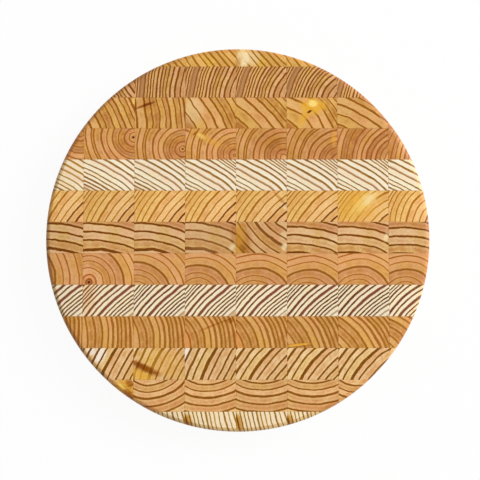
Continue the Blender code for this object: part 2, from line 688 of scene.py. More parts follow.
class OiledSurface(Effect):
    """How sanded and oiled end grain shines and stands up."""

    title = "oiled_surface"
    takes = (
        ("Place", ORIGIN),
        ("Roughness", 0.5),
        ("Summer", 0.0),
        ("Fibres", 0.5),
        ("Canals", 0.0),
        ("Seam", 0.0),
    )
    gives = ("Sheen", "Height")
    oil_patches = Clouds((0.07, 0.07, 0.07), 3.0)
    # What uneven oil, the summer lines and the fibres do to the roughness
    oil_play, line_polish, fibre_play = 0.18, -0.1, 0.14
    # How high each stands, as shares of the bump
    spring_height, line_height, fibre_height = 0.4, 0.5, 0.35
    canal_height, seam_height = -0.5, -0.8

    def inside(self, sheet: Sheet, given: dict[str, Socket]) -> dict[str, Socket]:
        """Hard summer lines are polished and a hair proud, spring wood drinks the oil.

        Args:
            sheet: The group's tree.
            given: The group's inputs by name.

        Returns:
            The roughness and the bump's height.
        """
        soak = self.oil_patches.over(sheet, given["Place"]).outputs["Fac"]
        uneven = sheet.math("MULTIPLY_ADD", soak, self.oil_play, -self.oil_play / 2)
        rough = sheet.math("ADD", given["Roughness"], uneven)
        rough = sheet.math("MULTIPLY_ADD", given["Summer"], self.line_polish, rough)
        grainy = sheet.math("MULTIPLY_ADD", given["Fibres"], self.fibre_play, -self.fibre_play / 2)
        rough = sheet.math("ADD", rough, grainy)
        height = self.spring_height
        for name, share in (
            ("Summer", self.line_height),
            ("Fibres", self.fibre_height),
            ("Canals", self.canal_height),
            ("Seam", self.seam_height),
        ):
            height = sheet.math("MULTIPLY_ADD", given[name], share, height)
        return {"Sheen": rough, "Height": height}


# The wood


@dataclass(frozen=True)
class Tint:
    """A stain's colour, how it blends, and if the dark lines show on it."""

    colour: Triple
    how: str = "MIX"
    under_lines: bool = False


class Stain(Enum):
    """What colours a patch or a band of wood."""

    AMBER = Tint((0.66, 0.44, 0.13), "MULTIPLY")
    KNOT = Tint((0.45, 0.23, 0.03), "MULTIPLY")
    BLUSH = Tint((1.0, 0.80, 0.66), "MULTIPLY")
    WARMTH = Tint((1.0, 0.97, 0.80), "MULTIPLY", True)
    TAN = Tint((0.95, 0.84, 0.86), "MULTIPLY", True)
    MAUVE = Tint((0.88, 0.74, 0.76), "MULTIPLY", True)
    BLEACHED = Tint((0.90, 0.68, 0.38), under_lines=True)
    CREAM = Tint((1.0, 0.88, 0.72), under_lines=True)
    VEIL = Tint((0.60, 0.31, 0.11))
    MILKY = Tint((1.0, 0.80, 0.46))
    RESIN = Tint((0.83, 0.43, 0.035))
    BRIGHT_RESIN = Tint((1.0, 0.72, 0.20))
    GOLD = Tint((0.95, 0.46, 0.05))
    PALE = Tint((1.0, 0.86, 0.66))
    ROSY_SUMMER = Tint((0.47, 0.22, 0.08))
    RED_SUMMER = Tint((0.25, 0.075, 0.035))
    OLIVE_SUMMER = Tint((0.31, 0.105, 0.004))
    DARK = Tint((0.10, 0.012, 0.0))


class Wash(Enum):
    """Colours that the wood is multiplied by where a mask is full."""

    ROSY = (1.0, 0.88, 0.88)
    OLIVE = (0.95, 0.94, 0.62)
    DEEP = (0.88, 0.80, 0.68)
    MOTTLED = (0.80, 0.71, 0.58)
    LATE_IN_THE_RING = (0.88, 0.76, 0.62)
    BESIDE_A_LINE = (0.92, 0.80, 0.38)
    FIBRES = (0.68, 0.57, 0.45)
    CANALS = (0.4, 0.22, 0.1)
    # The glued joint, darkened further with painted shade in the seam
    GLUE_AND_PAINTED_SHADE = (0.3, 0.17, 0.08)
    # The rim's darker wood, with painted shade of an edge turned from the light
    RIM_WITH_PAINTED_SHADE = (0.85, 0.72, 0.48)


@dataclass(frozen=True)
class Pith:
    """Where the pith lies from the middle of one block, in mm.

    A shift moves the rings outward, so a block can show other rings of its stick.
    """

    block: int
    x: float
    y: float
    shift: float = 0.0


@dataclass(frozen=True)
class Rings:
    """Growth rings of a stick: where the first summer line ends and the widths outward.

    They are counted in mm from the block's middle along the line to the pith, or from the
    pith itself where the pith is close. The breadth of the dark lines is in mm too.
    """

    first: float
    widths: tuple[float, ...]
    line: float = 0.9
    unevenness: float = 0.3
    from_pith: bool = False

    def lines(self) -> list[float]:
        """Add the widths up.

        Returns:
            The place of each ring's end, in mm.
        """
        places = [self.first]
        for width in self.widths:
            places.append(places[-1] + width)
        return places


@dataclass(frozen=True)
class Grain:
    """What a lath's material knows of each place on its blocks."""

    place: Socket
    block: Socket
    tone: Socket
    contrast: Socket
    distance: Socket
    rings: dict[str, Socket]
    fine: dict[str, Socket]
    tint: dict[str, Socket]
    seam: Socket
    rim: Socket


@dataclass(frozen=True)
class Band:
    """A stained stretch of rings, in mm from the block's middle or from the pith."""

    stain: Stain
    middle: float
    half_width: float
    strength: float = 1.0
    softness: float = 0.6

    def mask(self, sheet: Sheet, grain: Grain) -> Socket:
        """Find the band.

        Args:
            sheet: The material's tree.
            grain: The lath's grain.

        Returns:
            A mask that is 1 along the middle of the band.
        """
        return RingBand().place(sheet, distance=grain.distance, middle=self.middle,
                                half_width=self.half_width, softness=self.softness)["Mask"]


@dataclass(frozen=True)
class Patch:
    """A stained oval on one block, in mm from the block's middle."""

    block: int
    stain: Stain
    x: float
    y: float
    across: float
    up: float
    turn: float = 0.0
    strength: float = 1.0
    softness: float = 0.4
    raggedness: float = 0.3

    def mask(self, sheet: Sheet, grain: Grain) -> Socket:
        """Find the oval.

        Args:
            sheet: The material's tree.
            grain: The lath's grain.

        Returns:
            A mask that is 1 in the oval's middle.
        """
        return WoodPatch().place(
            sheet, place=grain.place, block=grain.block, on_block=float(self.block),
            centre=(self.x, self.y, 0.0), reach=(self.across, self.up, 1.0),
            turn=math.radians(self.turn), softness=self.softness, raggedness=self.raggedness,
        )["Mask"]


@dataclass(frozen=True)
class Knot:
    """A place that pushes the rings outward, in mm from a block's middle."""

    block: int
    x: float
    y: float
    reach: float
    push: float
    softness: float = 0.95

    def bend(self, sheet: Sheet, distance: Socket, place: Socket, block: Socket) -> Socket:
        """Bend the rings round the knot.

        Args:
            sheet: The material's tree.
            distance: Distance along undisturbed rings.
            place: The place on the block, in mm.
            block: The block's number.

        Returns:
            The distance along the bent rings.
        """
        mask = WoodPatch().place(
            sheet, place=place, block=block, on_block=float(self.block),
            centre=(self.x, self.y, 0.0), reach=(self.reach, self.reach, 1.0),
            softness=self.softness, raggedness=0.0,
        )["Mask"]
        return sheet.math("MULTIPLY_ADD", mask, -self.push, distance)


@dataclass(frozen=True)
class OilFinish:
    """Rubbed oil: how high the grain stands up (mm), how it shines, and its coat on the rim."""

    bump_strength: float = 0.5
    bump_height: float = 0.12
    ior: float = 1.45
    specular: float = 0.1
    rim_coat: float = 0.5
    coat_roughness: float = 0.45

    def lay(self, sheet: Sheet, surface: bpy.types.Node, grain: Grain, roughness: float) -> None:
        """Oil a surface.

        Args:
            sheet: The material's tree.
            surface: The material's shader.
            grain: The lath's grain.
            roughness: How dull the wood is under the oil, 0 to 1.
        """
        oiled = OiledSurface().place(
            sheet, place=grain.place, roughness=roughness, summer=grain.rings["Summer"],
            fibres=grain.fine["Fibres"], canals=grain.fine["Canals"], seam=grain.seam,
        )
        bump = sheet.node("Bump")
        for name, value in (
            ("Strength", self.bump_strength),
            ("Distance", self.bump_height * MM),
            ("Height", oiled["Height"]),
        ):
            sheet.feed(bump.inputs[name], value)
        for name, value in (
            ("Metallic", 0.0),
            ("Roughness", oiled["Sheen"]),
            ("IOR", self.ior),
            ("Normal", bump.outputs["Normal"]),
            ("Specular IOR Level", self.specular),
            ("Coat Weight", sheet.math("MULTIPLY", grain.rim, self.rim_coat)),
            ("Coat Roughness", self.coat_roughness),
        ):
            sheet.feed(surface.inputs[name], value)


@dataclass(frozen=True)
class LathWood:
    """The oiled end grain of one lath."""

    name: str
    spring: Triple
    body: Triple
    summer: Triple
    rings: Rings
    piths: tuple[Pith, ...]
    bands: tuple[Band, ...] = ()
    patches: tuple[Patch, ...] = ()
    knots: tuple[Knot, ...] = ()
    wander: float = 1.0
    ripple: float = 0.22
    fray: float = 0.1
    hue_play: float = 0.9
    halo: float = 0.6
    glow: float = 0.4
    wash: float = 0.5
    mottling: float = 1.2
    deepening: float = 0.35
    boldness: float = 0.0
    faint_share: Triple = (0.56, 0.38, 0.06)
    streaks: float = 0.15
    fibres: float = 0.62
    canals: float = 0.45
    # How strong the seam's dark line is: glued joint with painted shade
    glue_and_seam_shade: float = 0.08
    # How strong the rim's wash is: darker wood with painted shade of an edge turned from the light
    rim: float = 0.9
    roughness: float = 0.46
    oil: OilFinish = OilFinish()
    shown_rays: tuple[float, float] = (0.56, 0.8)
    shown_fibres: tuple[float, float] = (0.4, 0.8)
    ring_sample: float = 0.25
    widest_ring: float = 20.0
    seed: int = 1

    @property
    def faint(self) -> Triple:
        """The colour of the palest summer lines."""
        red, green, blue = (share * part for share, part in zip(self.faint_share, self.body))
        return red, green, blue

    @property
    def slot(self) -> str:
        """The record's material slot for this lath."""
        return f"{self.name}_wood"

    def pith_at(self, block: int) -> Triple:
        """The pith of a block, straight between the given ones.

        Args:
            block: The block's number, from the left.

        Returns:
            Its x and y in mm from the block's middle, and what is added to the distance.
        """
        before = [one for one in self.piths if one.block <= block] or [self.piths[0]]
        after = [one for one in self.piths if one.block >= block] or [self.piths[-1]]
        low, high = before[-1], after[0]
        gap = high.block - low.block
        part = (block - low.block) / gap if gap > 0 else 0.0
        x = low.x + (high.x - low.x) * part
        y = low.y + (high.y - low.y) * part
        shift = low.shift + (high.shift - low.shift) * part
        return x, y, -shift - (0.0 if self.rings.from_pith else math.hypot(x, y))

    def ring_number(self, sheet: Sheet, distance: Socket) -> Socket:
        """Turn the distance in mm into a running ring number.

        Args:
            sheet: The material's tree.
            distance: Distance along the rings.

        Returns:
            The ring number, whole at each summer line's end.
        """
        lines = self.rings.lines()
        count = len(lines) - 1
        span = lines[-1] - lines[0]
        part = sheet.math("DIVIDE", sheet.math("SUBTRACT", distance, lines[0]), span, clamp=True)
        curve = sheet.node("FloatCurve")
        points = curve.mapping.curves[0].points
        for number, line in enumerate(lines[1:-1], start=1):
            points.new((line - lines[0]) / span, number / count)
        for point in points:
            point.handle_type = "VECTOR"
        curve.mapping.update()
        sheet.feed(curve.inputs["Value"], part)
        beyond = sheet.math("MAXIMUM", sheet.math("SUBTRACT", distance, lines[-1]), 0.0)
        short = sheet.math("MINIMUM", sheet.math("SUBTRACT", distance, lines[0]), 0.0)
        more = sheet.math("DIVIDE", sheet.math("ADD", beyond, short), span / count)
        return sheet.math("MULTIPLY_ADD", curve.outputs[0], float(count), more)

    def figure(self, sheet: Sheet, distance: Socket) -> dict[str, Socket]:
        """Draw the lath's rings, whose width is found by looking a little farther in.

        Args:
            sheet: The material's tree.
            distance: Distance along the rings.

        Returns:
            The masks of the ring figure.
        """
        step = self.ring_sample
        number = self.ring_number(sheet, distance)
        inward = self.ring_number(sheet, sheet.math("SUBTRACT", distance, step))
        slope = sheet.math("MAXIMUM", sheet.math("SUBTRACT", number, inward), step / self.widest_ring)
        return RingFigure().place(
            sheet, ring_number=number, ring_width=sheet.math("DIVIDE", step, slope),
            line_width=self.rings.line, unevenness=self.rings.unevenness, seed=float(self.seed),
        )

    def grain(self, sheet: Sheet, half_block: tuple[float, float]) -> Grain:
        """Read what the lath's corners carry, and work out the grain from it.

        Args:
            sheet: The material's tree.
            half_block: Half a block's width and depth, in mm.

        Returns:
            All that the colour and the surface are made from.
        """
        facts = {name: sheet.node("Attribute", attribute_name=name) for name in CORNER_VALUES}
        place = facts["place"].outputs["Vector"]
        block = facts["block"].outputs["Fac"]
        seed = float(self.seed)
        drifted = GrainDrift().place(
            sheet, place=place, stick_place=facts["stick_place"].outputs["Fac"],
            wander=self.wander, ripple=self.ripple, fray=self.fray, seed=seed,
        )["Place"]
        out = PithDistance().place(sheet, place=drifted, pith=facts["pith"].outputs["Vector"])
        distance = out["Distance"]
        for knot in self.knots:
            distance = knot.bend(sheet, distance, place, block)
        rings = self.figure(sheet, distance)
        facing = sheet.node("TexCoord").outputs["Normal"]
        return Grain(
            place=place,
            block=block,
            tone=facts["tone"].outputs["Fac"],
            contrast=facts["contrast"].outputs["Fac"],
            distance=distance,
            rings=rings,
            fine=EndFibres().place(
                sheet, place=place, distance=distance, direction=out["Direction"], seed=seed
            ),
            tint=WoodTint().place(
                sheet, place=drifted, paleness=rings["Paleness"],
                ring_tone=rings["Ring Tone"], seed=seed,
            ),
            seam=SeamGlueAndShade().place(sheet, place=place, half_block=(*half_block, 0.0))["Mask"],
            rim=RimEdge().place(sheet, facing=facing)["Mask"],
        )

    @staticmethod
    def washed(sheet: Sheet, colour: Socket, *washes: tuple[Socket, float, Wash]) -> Socket:
        """Wash a colour, once for each mask.

        Args:
            sheet: The material's tree.
            colour: The colour so far.
            washes: A mask, how strong it is, and the wash.

        Returns:
            The washed colour.
        """
        for mask, strength, wash in washes:
            amount = sheet.math("MULTIPLY", mask, strength)
            colour = sheet.blend(amount, colour, wash.value, "MULTIPLY")
        return colour

    def stained(self, sheet: Sheet, colour: Socket, grain: Grain, under_lines: bool) -> Socket:
        """Lay the lath's bands and patches over its colour.

        Args:
            sheet: The material's tree.
            colour: The colour so far.
            grain: The lath's grain.
            under_lines: Whether the stains under or over the dark lines are laid.

        Returns:
            The stained colour.
        """
        for mark in (*self.bands, *self.patches):
            tint = mark.stain.value
            if tint.under_lines == under_lines:
                amount = sheet.math("MULTIPLY", mark.mask(sheet, grain), mark.strength)
                colour = sheet.blend(amount, colour, tint.colour, tint.how)
        return colour

    def colour(self, sheet: Sheet, grain: Grain) -> Socket:
        """Colour the wood, from its body to the stains and the finest fibres.

        Args:
            sheet: The material's tree.
            grain: The lath's grain.

        Returns:
            The wood's colour.
        """
        rings, tint, fine = grain.rings, grain.tint, grain.fine
        pale = sheet.math("MULTIPLY_ADD", rings["Glow"], self.glow, tint["Pale"], clamp=True)
        colour = self.washed(
            sheet, sheet.blend(pale, self.body, self.spring),
            (tint["Rosy"], self.hue_play, Wash.ROSY),
            (tint["Olive"], self.hue_play, Wash.OLIVE),
            (tint["Deep"], self.wash, Wash.DEEP),
            (tint["Mottle"], self.mottling * self.wash, Wash.MOTTLED),
            (rings["Deepening"], self.deepening, Wash.LATE_IN_THE_RING),
            (rings["Halo"], self.halo, Wash.BESIDE_A_LINE),
        )
        streak = sheet.math("MULTIPLY", sheet.ease(fine["Rays"], *self.shown_rays), self.streaks)
        colour = sheet.blend(streak, colour, self.spring)
        colour = self.stained(sheet, colour, grain, under_lines=True)
        dark = sheet.math("MULTIPLY", rings["Weight"], tint["Strength"])
        dark = sheet.math("MULTIPLY_ADD", dark, 1.0 - self.boldness, self.boldness)
        dark = sheet.math("MULTIPLY", dark, grain.contrast)
        colour = sheet.blend(rings["Summer"], colour, sheet.blend(dark, self.faint, self.summer))
        colour = self.stained(sheet, colour, grain, under_lines=False)
        colour = self.washed(
            sheet, colour,
            (sheet.ease(fine["Fibres"], *self.shown_fibres), self.fibres, Wash.FIBRES),
            (fine["Canals"], self.canals, Wash.CANALS),
            # The seam's wash is the glued joint with painted shade in the seam
            (grain.seam, self.glue_and_seam_shade, Wash.GLUE_AND_PAINTED_SHADE),
            # The rim's wash is darker wood with painted shade of an edge turned from the light
            (grain.rim, self.rim, Wash.RIM_WITH_PAINTED_SHADE),
        )
        bright = sheet.node("HueSaturation")
        sheet.feed(bright.inputs["Value"], grain.tone)
        sheet.feed(bright.inputs["Color"], colour)
        return bright.outputs["Color"]

    def material(self, half_block: tuple[float, float]) -> bpy.types.Material:
        """The lath's material.

        Args:
            half_block: Half a block's width and depth, in mm.

        Returns:
            A material that reads what the lath's corners carry.
        """
        made = bpy.data.materials.new(self.slot)
        made.use_nodes = True
        made.diffuse_color = (*self.body, 1.0)
        sheet = Sheet(made.node_tree)
        grain = self.grain(sheet, half_block)
        surface = made.node_tree.nodes["Principled BSDF"]
        sheet.feed(surface.inputs["Base Color"], self.colour(sheet, grain))
        self.oil.lay(sheet, surface, grain, self.roughness)
        return made


def pith_dot(block: int, x: float, y: float, ring: float, dot: float) -> tuple[Patch, Patch]:
    """Mark a pith that shows on a block.

    Args:
        block: The block's number, from the left.
        x: Its place to the right of the block's middle, in mm.
        y: Its place behind the block's middle, in mm.
        ring: The radius of the rosy wood round it, in mm.
        dot: Its own radius, in mm.

    Returns:
        The rosy wood and the dark dot.
    """
    return (
        Patch(block, Stain.ROSY_SUMMER, x, y, ring, ring, 0, 0.7, 0.4, 0.2),
        Patch(block, Stain.DARK, x, y, dot, dot, 0, 1.0, 0.3, 0.1),
    )


def soaked_end(block: int, x: float) -> tuple[Patch, Patch]:
    """Stain a block near its left end.

    Args:
        block: The block's number, from the left.
        x: The stain's place to the right of the block's middle, in mm.

    Returns:
        The amber stain and its brown core.
    """
    return (
        Patch(block, Stain.AMBER, x, 4, 3.4, 7, 15, 1.0),
        Patch(block, Stain.KNOT, x - 1.2, 5, 1.3, 6, 20, 0.55),
    )


WOODS_FROM_THE_BACK = (
    LathWood(
        name="back_lath_6",
        spring=(0.86, 0.52, 0.16), body=(0.64, 0.37, 0.10), summer=(0.343, 0.136, 0.003),
        rings=Rings(-22.0, (5.0, 5.2, 5.5, 4.1, 4.7, 3.8, 3.6, 5.3, 4.8, 5.0), 1.1),
        piths=(Pith(3, 80, 50), Pith(4, 70, 45), Pith(5, 60, 40), Pith(6, 60, 40)),
        patches=(
            Patch(5, Stain.BLEACHED, -8, -5, 7, 6, 0, 0.6),
            Patch(5, Stain.MILKY, -14.2, -4, 4.4, 9, 0, 0.8, 0.5, 0.4),
            Patch(5, Stain.AMBER, -17.8, -9, 2.0, 5, -20, 0.6, 0.6),
        ),
        seed=1,
    ),
    LathWood(
        name="back_lath_5",
        spring=(0.86, 0.52, 0.28), body=(0.54, 0.25, 0.056), summer=(0.178, 0.052, 0.001),
        rings=Rings(
            -26.0,
            (4.5, 4.7, 4.8, 4.0, 3.0, 2.6, 2.4, 2.7, 2.6, 2.1, 2.0, 2.8, 3.3, 2.0, 2.0, 1.7, 2.0, 2.2),
            1.15,
        ),
        piths=(Pith(2, 80, 35), Pith(3, 90, -12, 0.5), Pith(4, 70, -20), Pith(5, 50, -22),
               Pith(6, 38, -24, 0.7), Pith(7, 30, -20, 0.5)),
        bands=(Band(Stain.ROSY_SUMMER, 13.7, 2.0, 0.7, 0.5),),
        seed=2,
    ),
    LathWood(
        name="back_lath_4",
        spring=(0.84, 0.5, 0.19), body=(0.54, 0.22, 0.054), summer=(0.329, 0.118, 0.008),
        rings=Rings(
            -30.5,
            (7.5, 8.0, 7.6, 7.4, 6.8, 4.0, 5.5, 4.7, 4.0, 4.5, 4.0, 3.5, 3.0, 4.0, 4.0),
            1.25,
        ),
        piths=(Pith(1, -110, -50, -17), Pith(2, -110, -50, -17), Pith(3, -100, -10, -17),
               Pith(4, -84, -46, 0), Pith(5, -90, -85, 0), Pith(6, -70, -70, -1),
               Pith(7, -55, -95, -1), Pith(8, -60, -80, -0.5)),
        patches=(
            Patch(2, Stain.BRIGHT_RESIN, 19.3, 10.0, 1.5, 3.0, 0, 0.6),
            Patch(3, Stain.KNOT, -11.5, 6.2, 8.5, 1.1, 20, 1.0, 0.5),
            Patch(3, Stain.AMBER, -14, 8.5, 8, 4, 15, 0.35, 0.6),
            Patch(4, Stain.BLEACHED, -14, 2, 7, 10, 0, 0.45, 0.6),
            Patch(6, Stain.RESIN, 0.8, 5.5, 9, 6, 0, 0.9, 0.5, 0.6),
            Patch(6, Stain.RESIN, -6, -3, 3, 7, -35, 0.6, 0.5),
            Patch(6, Stain.BRIGHT_RESIN, 0.8, 7.5, 3.6, 2.8, 0, 1.0),
            Patch(6, Stain.DARK, -1.8, 1.1, 2.0, 0.9, 30, 0.95),
        ),
        knots=(Knot(6, 2, 4, 12, 4.0),),
        ripple=0.35,
        seed=3,
    ),
    LathWood(
        name="back_lath_3",
        spring=(0.83, 0.45, 0.19), body=(0.48, 0.20, 0.056), summer=(0.414, 0.153, 0.025),
        rings=Rings(
            -0.5,
            (3.6, 3.6, 4.5, 4.7, 4.3, 4.8, 5.6, 1.8, 4.4, 4.5, 4.5, 3.2, 3.6, 3.4, 3.0, 2.0, 3.2,
             3.4, 3.6, 3.0, 3.4, 3.2, 3.6),
            1.0, from_pith=True,
        ),
        piths=(Pith(1, 17, 8), Pith(2, 19.3, 5, 1.2), Pith(3, 18, -4.1, -0.3), Pith(4, 19.2, -8.8, -1.8),
               Pith(5, 18, -10.5), Pith(6, 23, -15, 2), Pith(7, 32, -15, 34), Pith(8, 22, -16, 34)),
        bands=(
            Band(Stain.MAUVE, 5.6, 2.0, 0.9, 1.0),
            Band(Stain.BLUSH, 9.5, 1.6, 0.4),
        ),
        patches=(
            *pith_dot(2, 18.8, 5.2, 1.6, 0.9),
            *pith_dot(3, 17.8, -4.0, 1.3, 0.7),
            Patch(4, Stain.RESIN, -2, 3.5, 12, 2.4, -28, 0.4, 0.7, 0.7),
            Patch(4, Stain.BRIGHT_RESIN, -7.5, 6.3, 3.4, 1.5, -30, 0.5, 0.6, 0.6),
            Patch(4, Stain.KNOT, -18.3, 10.5, 2.2, 1.1, -20, 0.8),
            Patch(4, Stain.KNOT, -12, 8.4, 2.2, 1.0, 40, 0.8),
            Patch(5, Stain.AMBER, 6, 2, 13, 7, 40, 0.5, 0.7),
            Patch(6, Stain.AMBER, 0, 0, 22, 14, 0, 0.25),
            Patch(6, Stain.GOLD, 17.3, 4.0, 1.7, 5.0, 0, 0.45, 0.7, 0.6),
            Patch(7, Stain.MAUVE, 0, 0, 24, 14, 0, 0.4),
        ),
        seed=4,
    ),
    LathWood(
        name="back_lath_2",
        spring=(1, 0.92, 0.74), body=(1.00, 0.81, 0.60), summer=(0.16, 0.042, 0.012),
        rings=Rings(
            -33.0,
            (3.0, 3.0, 2.8, 2.8, 3.0, 2.9, 3.0, 3.9, 4.4, 4.8, 4.5, 4.1, 3.2, 2.1, 2.0, 1.9, 2.0,
             2.0, 2.0),
            1.2,
        ),
        piths=(Pith(1, -50, -98, 10), Pith(2, -60, -98, 9), Pith(3, -62, -98, 5),
               Pith(4, -62, -98, 1), Pith(5, -62, -98, 0), Pith(6, -62, -98, -0.3),
               Pith(7, -62, -98, 1.7), Pith(8, -66, -110, 2)),
        bands=(Band(Stain.ROSY_SUMMER, -4.4, 0.8, 0.5, 0.4),),
        patches=(
            Patch(1, Stain.RESIN, 10, 0, 12, 14, 0, 0.2, 0.6),
            Patch(2, Stain.VEIL, -17.5, -11.8, 6, 2.6, -32, 0.5, 0.4, 0.3),
            Patch(3, Stain.VEIL, -18.5, -11.8, 4.5, 2.4, -32, 0.5, 0.4, 0.3),
        ),
        hue_play=0.2,
        halo=0.25,
        wash=0.25,
        boldness=0.1,
        seed=5,
        roughness=0.5,
    ),
    LathWood(
        name="back_lath_1",
        spring=(1, 0.67, 0.31), body=(0.80, 0.41, 0.11), summer=(0.42, 0.157, 0.008),
        rings=Rings(
            -30.0,
            (5.9, 5.9, 5.9, 4.8, 5.3, 5.3, 4.3, 3.6, 4.0, 3.0, 2.2, 2.4, 2.0, 2.2),
            1.0,
        ),
        piths=(Pith(1, 59, -40), Pith(3, 54, -41), Pith(4, 52, -42, 1.2), Pith(5, 50, -45, 2.3),
               Pith(6, 49, -48, 0), Pith(7, 38, -38, -4), Pith(8, 20, -14, 0)),
        bands=(
            Band(Stain.TAN, -24, 6, 0.8),
            Band(Stain.DARK, -12.7, 0.6, 0.75, 0.3),
            Band(Stain.DARK, -18.6, 0.7, 0.85, 0.3),
            Band(Stain.DARK, -24.4, 0.8, 0.85, 0.3),
        ),
        patches=(
            Patch(5, Stain.AMBER, 14.5, 6, 8, 1.2, -48, 0.7),
            Patch(5, Stain.BLEACHED, 18.5, 0.5, 2, 3.5, 30, 0.9),
            Patch(7, Stain.RESIN, -5, 0, 18, 13, 0, 0.5, 0.6, 0.5),
            Patch(7, Stain.BRIGHT_RESIN, 2, 3, 11, 5, 40, 0.5, 0.6, 0.6),
            Patch(7, Stain.MILKY, 4.5, 5.4, 5, 3, 40, 0.5, 0.6, 0.6),
            Patch(7, Stain.GOLD, -5.2, 5.4, 1.3, 4, -20, 0.6, 0.6, 0.6),
        ),
        hue_play=0.5,
        seed=6,
        roughness=0.44,
    ),
    LathWood(
        name="middle_lath",
        spring=(0.84, 0.56, 0.3), body=(0.61, 0.26, 0.10), summer=(0.165, 0.043, 0.001),
        rings=Rings(-28.0, (6.4, 6.5, 6.5, 6.7, 6.5, 6.4, 6.2, 5.5, 5.0), 1.8, 0.15),
        piths=(Pith(1, -10, -78, 1), Pith(2, -12, -76), Pith(3, -12, -60), Pith(4, -15, -56),
               Pith(5, 92, 102, 1), Pith(6, -14, -80, -2.7), Pith(7, -12, -68, -2.5),
               Pith(8, -9, -65, -2.7)),
        patches=(
            Patch(4, Stain.VEIL, 0, -2, 22, 12, 0, 0.25, 0.5),
            Patch(4, Stain.AMBER, 19, 1, 3, 10, 0, 0.6),
            Patch(5, Stain.VEIL, 0, 0, 22, 14, 0, 0.15, 0.5),
            Patch(5, Stain.AMBER, 0, 0, 22, 14, 0, 0.2, 0.5),
            Patch(5, Stain.AMBER, -16, -2, 7, 14, 0, 0.75),
            Patch(5, Stain.RESIN, -18, -2, 5, 14, 0, 0.35, 0.6),
            Patch(5, Stain.DARK, -15, -8, 2.2, 3.2, 30, 0.4),
            Patch(4, Stain.MILKY, 17.3, -7.2, 1.8, 3.0, -35, 0.6, 0.7),
            Patch(5, Stain.MILKY, 18, -7.5, 2.2, 2.6, 0, 0.7, 0.6),
            Patch(5, Stain.BLEACHED, 17.5, 1.5, 2.6, 3, -30, 0.8),
            Patch(6, Stain.BLEACHED, 16, -3, 4, 2.5, 0, 0.5),
            Patch(7, Stain.MILKY, 17.8, 0.2, 1.6, 3.0, -20, 0.6, 0.6),
        ),
        knots=(Knot(5, 14, 10, 22, 5.0),),
        wander=0.8,
        ripple=0.4,
        boldness=0.5,
        seed=7,
    ),
    LathWood(
        name="front_lath_1",
        spring=(0.86, 0.49, 0.25), body=(0.64, 0.28, 0.095), summer=(0.451, 0.149, 0.041),
        rings=Rings(
            -0.5,
            (3.6, 3.3, 5.2, 5.2, 4.0, 6.2, 6.0, 5.0, 7.0, 6.0, 6.0),
            0.95, from_pith=True,
        ),
        piths=(Pith(1, -28, -6), Pith(2, -15, -10), Pith(3, -18, -21), Pith(4, -10, -22, -1.5),
               Pith(5, -5, -30, 4), Pith(6, -3, -29, 1.5), Pith(7, -4, -25), Pith(8, -7, -25, -2)),
        bands=(
            Band(Stain.WARMTH, 45, 18.0, 0.9, 2.0),
            Band(Stain.OLIVE_SUMMER, 26.6, 0.9, 0.85, 0.4),
            Band(Stain.AMBER, 0, 2.6, 0.7, 1.0),
            Band(Stain.ROSY_SUMMER, 0, 1.6, 0.8, 0.5),
            Band(Stain.DARK, 0, 1.1, 1.0, 0.4),
            Band(Stain.BLUSH, 4, 3.0, 0.5, 2.0),
        ),
        seed=8,
    ),
    LathWood(
        name="front_lath_2",
        spring=(1, 0.88, 0.68), body=(1.00, 0.91, 0.67), summer=(0.09, 0.014, 0.001),
        rings=Rings(
            -28.0,
            (3.4, 3.3, 3.3, 3.5, 2.5, 2.4, 2.5, 2.8, 3.9, 3.9, 3.9, 3.8, 3.0, 2.0, 2.0, 2.6, 3.0),
            1.6, 0.1,
        ),
        piths=(Pith(1, 70, -70, -1), Pith(2, 100, -105, -1.5), Pith(3, 110, -112, -1),
               Pith(4, 110, -112), Pith(5, 95, -100), Pith(6, 90, -98), Pith(7, 80, -92, 1),
               Pith(8, 42, -55, 1)),
        bands=(
            Band(Stain.RED_SUMMER, -1.4, 1.2, 0.8, 0.4),
            Band(Stain.RED_SUMMER, 6.5, 1.1, 0.3, 0.4),
            Band(Stain.PALE, -25, 8.0, 0.5, 5.0),
        ),
        patches=(
            Patch(2, Stain.BLUSH, -19, 3, 9, 13, 0, 0.8, 0.6),
            Patch(2, Stain.AMBER, -19, 3, 7, 13, 0, 0.2, 0.6),
            Patch(2, Stain.VEIL, 19.2, -11.8, 3.8, 2.6, 45, 0.6, 0.3, 0.2),
            Patch(3, Stain.VEIL, 18.8, -11.8, 4.2, 2.8, 45, 0.6, 0.3, 0.2),
            Patch(4, Stain.VEIL, 18.6, -11.8, 4.4, 3.0, 45, 0.7, 0.3, 0.2),
            Patch(5, Stain.VEIL, 19.4, -11.8, 3.6, 2.4, 45, 0.5, 0.3, 0.2),
        ),
        wander=0.6,
        hue_play=0.3,
        halo=0.12,
        wash=0.2,
        faint_share=(0.68, 0.37, 0.10),
        boldness=0.55,
        seed=9,
        roughness=0.5,
    ),
    LathWood(
        name="front_lath_3",
        spring=(0.84, 0.48, 0.19), body=(0.54, 0.23, 0.043), summer=(0.413, 0.174, 0.025),
        rings=Rings(
            -27.0,
            (6.0, 5.5, 5.9, 5.4, 4.8, 4.2, 3.7, 2.8, 3.7, 3.6, 2.7, 3.2, 3.2),
            1.45,
        ),
        piths=(Pith(1, -100, 0), Pith(2, -95, -8), Pith(3, -60, -12), Pith(4, -38, -12, -0.5),
               Pith(5, -42, -18), Pith(6, -46, -25, 0.8), Pith(7, -40, -30, 1.2),
               Pith(8, -26, -18, 1.7)),
        patches=(
            Patch(4, Stain.AMBER, 3, 5.5, 15, 0.8, 22, 0.7),
            Patch(4, Stain.AMBER, 15.5, 9, 3, 1.8, 10, 0.8),
            Patch(4, Stain.BLUSH, -17.5, -7, 3, 7, 0, 0.9),
            Patch(5, Stain.BLUSH, -18, -6, 3, 7, 20, 0.9),
